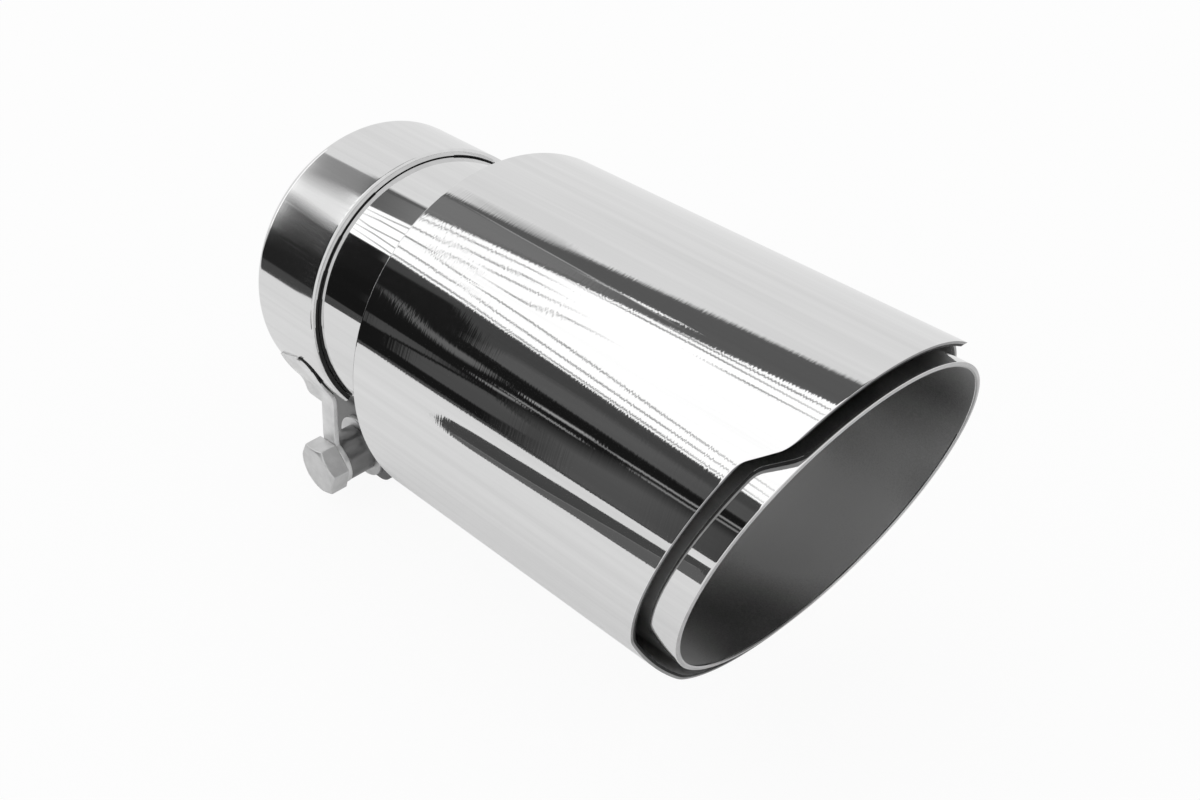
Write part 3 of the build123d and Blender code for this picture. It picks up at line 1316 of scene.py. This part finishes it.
@dataclass(frozen=True)
class Card:
    """Light panel or flag, curved round the pipe's axis.

    Its outline gives places along the pipe in metres, each with the angles of its two long edges.
    """

    name: str
    level: float
    outline: tuple[tuple[float, float, float], ...]
    distance: float = 1.004
    soft: Station = (0.4, 0.4)
    faint_ends: bool = False
    cover: float = 1.0

    def build(self) -> None:
        """Build the card. Only reflections show it."""
        first, last = self.soft
        vertices, covers = [], []
        for index, (x, start, end) in enumerate(self.outline):
            low, high = start + first / 2, end - last / 2
            inner = [low + (high - low) * step / CARD_STEPS for step in range(CARD_STEPS + 1)]
            angles = (start - first / 2, *inner, end + last / 2)
            vertices += [round_x(x, self.distance, angle) for angle in angles]
            faint = self.faint_ends and index in (0, len(self.outline) - 1)
            covers += [0.0, *[0.0 if faint else self.cover] * len(inner), 0.0]
        row = CARD_STEPS + 3
        faces = [(i + k, i + k + 1, i + row + k + 1, i + row + k)
                 for i in range(0, len(vertices) - row, row) for k in range(row - 1)]
        put_in_studio(self.name, self.level, vertices, covers, faces)


def line_card(name: str, level: float, points: Iterable[Station], width: float) -> Card:
    """Thin card for a fold or a seam in a panel's cloth.

    Args:
        name: Name of the card.
        level: Its glow.
        points: Place along the pipe and angle of each point.
        width: Width in degrees.

    Returns:
        The card, in front of the wide ones.
    """
    outline = tuple((x, angle - width / 2, angle + width / 2) for x, angle in points)
    return Card(name, level, outline, distance=1.0, soft=(width * LINE_SOFTNESS,) * 2, faint_ends=True)


# Wide panels and flags.
PANELS: tuple[Card, ...] = (
    Card("white_panel", 1.3, ((-1.6, 72, 158), (-1.27, 76, 158), (-1.25, 92, 150), (-1.14, 92, 150),
        (-1.1, 88, 150), (-0.95, 84, 150), (-0.5, 76, 152), (-0.3, 70, 152)), distance=1.006),
    Card("grey_flag", 0.118, ((-1.13, 78, 100.5), (-1.04, 77, 97), (-0.99, 75.5, 94.5), (-0.9, 74, 91.3),
        (-0.85, 73, 90), (-0.8, 70.7, 88.3), (-0.7, 67.7, 85.5), (-0.6, 64.2, 82.8), (-0.5, 61.5, 79.5),
        (-0.3, 57, 74)), soft=(2.5, 0.5)),
    Card("grey_flag_bloom", 0.3, ((-1, 70, 76), (-0.9, 69.5, 75), (-0.83, 68.5, 72.5), (-0.78, 68, 70)),
        distance=1.005, soft=(6, 1), faint_ends=True, cover=0.6),
    Card("pale_flag", 0.21, ((-1.13, 83, 100.5), (-1.04, 80, 97), (-0.99, 78.4, 93.5), (-0.9, 79.3, 90.3),
        (-0.8, 80.2, 87), (-0.66, 81.8, 83.5)), distance=1.002, soft=(0.8, 2.5), faint_ends=True),
    Card("black_flag", 0.01, ((-1.13, 127.5, 183.5), (-1.05, 127.5, 183.5), (-1, 128.4, 183.5),
        (-0.9, 130.2, 183.5), (-0.8, 132.7, 183.5), (-0.7, 135.3, 183.5), (-0.6, 138.3, 183.5),
        (-0.5, 141, 183.5), (-0.3, 146, 183.5)), soft=(0.6, 0.1)),
    Card("collar_grey", 0.3, ((-1.248, 81, 109), (-1.224, 81, 108), (-1.131, 79.5, 104),
        (-1.13, 79.5, 104)), soft=(0.8, 16), faint_ends=True),
    Card("collar_pale", 0.95, ((-1.248, 84, 132), (-1.224, 84, 132), (-1.131, 82, 134), (-1.13, 82, 134)),
        distance=1.005, soft=(3, 6), faint_ends=True),
    Card("collar_dark", 0.085, ((-1.248, 127, 183.5), (-1.224, 126, 183.5), (-1.131, 130, 183.5),
        (-1.13, 130, 183.5)), soft=(12, 0.1), faint_ends=True),
    Card("collar_black", 0.02, ((-1.6, 168, 183.5), (-1.25, 162, 183.5), (-1.226, 146, 183.5),
        (-1.131, 148, 183.5)), distance=1.003, soft=(18, 0.1)),
)

# Greys within the black flag: its folds, its stand and the room behind it.
FOLDS: tuple[Card, ...] = (
    Card("fold_upper", 0.062, ((-1.05, 127.8, 134.5), (-0.9, 130.4, 134), (-0.86, 131.5, 140),
        (-0.83, 132.2, 148.5), (-0.8, 132.9, 149.5), (-0.7, 135.5, 151), (-0.6, 138.5, 152.5),
        (-0.3, 146.2, 157)), distance=1.002, soft=(0.4, 1.6)),
    Card("fold_lower", 0.11, ((-0.87, 146.5, 148), (-0.83, 143.5, 148.8), (-0.8, 142, 149.4),
        (-0.7, 142.3, 150.8), (-0.6, 144.5, 152.3), (-0.3, 149, 156.6)),
        distance=1.001, soft=(3, 0.5), faint_ends=True),
    Card("strut", 0.17, ((-1.02, 146, 148), (-0.97, 148, 151), (-0.93, 152.5, 156), (-0.88, 154.5, 158.5),
        (-0.84, 154.8, 158.5), (-0.79, 155, 156)),
        distance=1.002, soft=(1.2, 1.8), faint_ends=True, cover=0.8),
    Card("base_fold", 0.075, ((-1.05, 164.5, 171), (-0.99, 164.5, 170.5), (-0.9, 164.8, 167.6),
        (-0.83, 164.8, 165.6)), distance=1.002, soft=(0.5, 0.9), faint_ends=True),
    Card("base_lens", 0.085, ((-0.96, 171, 177.4), (-0.92, 170, 177.4), (-0.86, 168, 177.4),
        (-0.8, 166.6, 177.2), (-0.76, 169, 176.5), (-0.71, 171.5, 174)),
        distance=1.002, soft=(0.7, 0.9), faint_ends=True),
    Card("base_grey", 0.1, ((-0.8, 168, 183), (-0.68, 166, 183), (-0.6, 163, 183), (-0.3, 161, 183)),
        distance=1.003, soft=(9, 1), faint_ends=True),
    line_card("strip_a", 0.42, ((-0.77, 157.5), (-0.74, 157.5), (-0.67, 157.5), (-0.65, 158)), 1.1),
    line_card("strip_b", 0.36, ((-0.67, 158.3), (-0.62, 158.3), (-0.45, 158.9), (-0.3, 159.5)), 0.8),
    line_card("strip_c", 0.34, ((-0.8, 161), (-0.77, 160.9), (-0.69, 161.4), (-0.67, 161.4)), 0.8),
    line_card("strip_d", 0.3, ((-0.84, 162.9), (-0.8, 162.8), (-0.77, 162.4), (-0.75, 162.2)), 1),
    line_card("strip_e", 0.3, ((-0.62, 161), (-0.58, 160.9), (-0.45, 161.3), (-0.3, 161.5)), 0.8),
    line_card("panel_seam", 0.42, ((-0.99, 77.6), (-0.9, 78.8), (-0.8, 79.7), (-0.7, 81), (-0.64, 81.6)),
        0.6),
)

# Thin creases in the white panel's cloth: place along the pipe and angle of each point.
CREASES: tuple[tuple[Station, ...], ...] = (
    ((-1.13, 104.5), (-1.07, 102), (-1.02, 99.5), (-0.95, 96.6), (-0.9, 95.3), (-0.85, 93.7), (-0.78, 92)),
    ((-1.13, 109.5), (-1.08, 106.5), (-1.02, 106.2), (-0.97, 105.4), (-0.93, 102), (-0.88, 101),
     (-0.84, 98.8), (-0.78, 97.4)),
    ((-1.13, 113), (-1.09, 115), (-1.02, 113.2), (-0.97, 113.3), (-0.94, 110), (-0.91, 108.6), (-0.9, 111),
     (-0.893, 114)),
    ((-0.98, 113.6), (-0.94, 116), (-0.91, 117), (-0.89, 116)),
    ((-1.13, 119), (-1.08, 118.5), (-1.02, 120.6), (-0.96, 121.5), (-0.93, 122.9), (-0.91, 122.4),
     (-0.895, 119.2)),
    ((-0.895, 119.5), (-0.885, 123.4), (-0.85, 125), (-0.7, 129.6), (-0.6, 132.4), (-0.4, 138)),
    ((-0.9, 118.5), (-0.87, 118.4), (-0.8, 120.2), (-0.7, 123.7), (-0.6, 127.8), (-0.4, 134)),
    ((-1.12, 123), (-1.06, 124.5), (-1.02, 126.3), (-0.9, 128.2), (-0.8, 131.3), (-0.7, 133.9),
     (-0.6, 136.6), (-0.4, 142)),
    ((-0.9, 111.8), (-0.82, 112.6), (-0.77, 108.4), (-0.7, 106.5)),
    ((-0.9, 107.5), (-0.88, 106), (-0.82, 104.4), (-0.74, 101)),
    ((-0.7, 85.8), (-0.64, 84.8), (-0.5, 82.8), (-0.4, 81)),
    ((-0.82, 89.9), (-0.7, 87.6), (-0.6, 86.8), (-0.4, 86)),
    ((-0.62, 92.3), (-0.55, 91.2), (-0.4, 89.5)),
)

# Outlines on the floor in metres, seen from above. NEAR_TOP and NEAR_LOW bound the near flag, NEAR_LINE
# bounds its fold and is its seam.
FAR_FLAG = (
    (-1.5, -1.35), (-0.25, -1.35), (-0.45, -0.98), (-0.494, -0.922), (-0.498, -0.865), (-0.519, -0.786),
    (-0.53, -0.708), (-0.562, -0.665), (-0.66, -0.7), (-0.583, -0.6), (-0.387, -0.423), (-0.376, -0.366),
    (-0.318, -0.305), (-0.36, -0.3), (-1.5, -0.3))
NEAR_TOP = (
    (-0.132, -0.255), (-0.153, -0.281), (-0.159, -0.306), (-0.16, -0.36), (-0.152, -0.414), (-0.14, -0.49))
NEAR_LINE = (
    (-0.07, -0.195), (-0.063, -0.199), (-0.051, -0.206), (-0.043, -0.218), (-0.039, -0.237),
    (-0.039, -0.287), (-0.041, -0.32))
NEAR_LOW = (
    (0.05, -0.205), (0.024, -0.198), (-0.002, -0.19), (-0.03, -0.181), (-0.044, -0.177), (-0.057, -0.18),
    (-0.081, -0.199), (-0.105, -0.222))


@dataclass(frozen=True)
class Studio:
    """White floor, pale surroundings, and long panels and flags beside the pipe, in metres."""

    floor_z: float = -0.0535
    floor_half: float = 6.0
    floor_grey: float = 0.92
    floor_lift: float = 0.92
    glossy_lift: float = 0.3
    surround: float = 0.85
    crease_level: float = 0.12
    crease_width: float = 0.8
    flag_gap: float = 0.0004
    seam: Station = (0.003, 0.002)

    def creases(self) -> list[Card]:
        """Cards of the creases."""
        return [line_card(f"crease_{number}", self.crease_level, line, self.crease_width)
                for number, line in enumerate(CREASES)]

    def make_floor_flags(self) -> None:
        """Flags that lie on the floor in front of the pipe, out of the camera's sight."""
        seam = [(x + self.seam[0], y + self.seam[1]) for x, y in reversed(NEAR_LINE)]
        for name, level, layer, corners in (
                ("far_floor_flag", 0.07, 1, FAR_FLAG), ("near_floor_flag", 0.07, 1, NEAR_TOP + NEAR_LOW),
                ("near_floor_fold", 0.13, 2, NEAR_LINE + NEAR_LOW[:-2]),
                ("near_floor_seam", 0.24, 3, (*NEAR_LINE, *seam))):
            vertices = [(x, y, self.floor_z + self.flag_gap * layer) for x, y in corners]
            put_in_studio(name, level, vertices, [1.0] * len(vertices), [tuple(range(len(vertices)))])

    def make_floor(self) -> None:
        """Pale floor that looks white to the camera and still shows the object's shadow."""
        half = self.floor_half
        corners = [(-half, -half), (half, -half), (half, half), (-half, half)]
        floor = add_mesh("floor", [(x, y, self.floor_z) for x, y in corners], [(0, 1, 2, 3)])
        material = bpy.data.materials.new("floor_paper")
        shader = Shader(material)
        paper = shader.node("ShaderNodeBsdfDiffuse", {}, {"Color": (self.floor_grey,) * 3 + (1.0,)})
        white = shader.node("ShaderNodeEmission", {}, {"Color": WHITE, "Strength": 1.0})
        camera_ray = shader.node("ShaderNodeLightPath", output="Is Camera Ray")
        glossy_ray = shader.node("ShaderNodeLightPath", output="Is Glossy Ray")
        lift = camera_ray * self.floor_lift + glossy_ray * self.glossy_lift
        shader.finish(shader.node("ShaderNodeMixShader", {}, {0: lift, 1: paper, 2: white}))
        floor.data.materials.append(material)

    def make_world(self) -> None:
        """Even surroundings: a pale grey for light and reflections, white for the camera."""
        world = bpy.data.worlds.new("surroundings")
        bpy.context.scene.world = world
        shader = Shader(world)
        pale, white = (shader.node("ShaderNodeBackground", {}, {"Color": colour, "Strength": 1.0})
                       for colour in ((self.surround,) * 3 + (1.0,), WHITE))
        camera_ray = shader.node("ShaderNodeLightPath", output="Is Camera Ray")
        shader.finish(shader.node("ShaderNodeMixShader", {}, {0: camera_ray, 1: pale, 2: white}),
                      "ShaderNodeOutputWorld")

    def build(self) -> None:
        """Build the floor, the surroundings and the cards."""
        self.make_floor()
        self.make_world()
        self.make_floor_flags()
        for card in (*PANELS, *FOLDS, *self.creases()):
            card.build()
        bpy.context.scene.view_settings.view_transform = "Standard"


@dataclass(frozen=True)
class PhotoCamera:
    """Camera at the photograph's viewing angle, in millimetres and degrees."""

    place: tuple[float, float, float] = (348.8, -204.8, 234.6)
    azimuth: float = 52.285
    elevation: float = 35.504
    roll: float = -5.919
    focal_pixels: float = 1794.0
    sensor: float = 36.0

    def build(self) -> None:
        """Create the camera and make it the scene's."""
        azimuth, elevation, roll = (radians(a) for a in (self.azimuth, self.elevation, self.roll))
        back = Vector((sin(azimuth) * cos(elevation), -cos(azimuth) * cos(elevation), sin(elevation)))
        level = Vector((0, 0, 1)).cross(back).normalized()
        up = back.cross(level)
        right = cos(roll) * level + sin(roll) * up
        over = cos(roll) * up - sin(roll) * level
        data = bpy.data.cameras.new("photo_camera")
        data.sensor_fit = "HORIZONTAL"
        data.sensor_width = self.sensor
        data.lens = self.focal_pixels * self.sensor / PHOTO_WIDTH
        data.clip_start = 0.01
        camera = bpy.data.objects.new("photo_camera", data)
        turn = Matrix((right, over, back)).transposed().to_4x4()
        camera.matrix_world = Matrix.Translation(Vector(self.place) * MM) @ turn
        bpy.context.scene.collection.objects.link(camera)
        bpy.context.scene.camera = camera


def main() -> None:
    """Build the exhaust tip's pieces in order, then the studio and the camera."""
    logging.basicConfig(level=logging.INFO, format="%(message)s")
    front = FrontCut()
    mirror = PolishedSteel("mirror_steel")
    inside = DullSteel("tube_inside")
    satin = SatinSteel("satin_steel", grey=0.68)
    edge = SatinSteel("cut_edge", grey=0.36, roughness=0.35)
    rim = SatinSteel("cut_rim", grey=0.55, roughness=0.3)
    # The near-black finish paints shade on the sleeve's rear corner and on the inner half of its cut front
    # edge.
    Sleeve(front).build(mirror, inside, edge, SatinSteel("sleeve_painted_shade", grey=0.05, roughness=0.5))
    OutletTube(front).build(PolishedSteel("outlet_steel", buff_line_depth=0.002), inside, rim)
    InletTube().build(PolishedSteel("neck_steel", long_line_depth=0.001, buff_line_depth=0.0003))
    bolt = BoltLine()
    band_steel = PolishedSteel("band_steel", roughness=0.045, buff_line_depth=0.0004)
    ClampBand(bolt, NearEar(bolt)).build(band_steel, SatinSteel("ear_steel", grey=0.8),
                                       # The far ear's dark grey is painted shade between the ears.
                                       SatinSteel("far_ear_shaded_steel", grey=0.2),
                                       # Near-black finish that paints shade on the hoop's front edge and a
                                       # shadow along the near ear's top.
                                       SatinSteel("band_painted_shade", grey=0.05, roughness=0.5))
    # The spacer's dark grey is painted shade between the ears.
    Fasteners(bolt).build(satin, SatinSteel("turned_steel_painted_shade", grey=0.22, roughness=0.22))
    WeldSeam("sleeve_seam", "sleeve_weld", wall_x=50.5, leg=2.4).build(SatinSteel("weld_steel", grey=0.5))
    WeldSeam("inner_seam", "outlet_weld", wall_x=54.7, leg=1.25).build(SatinSteel("inner_weld", grey=0.4))
    Studio().build()
    PhotoCamera().build()


if __name__ == "__main__":
    main()
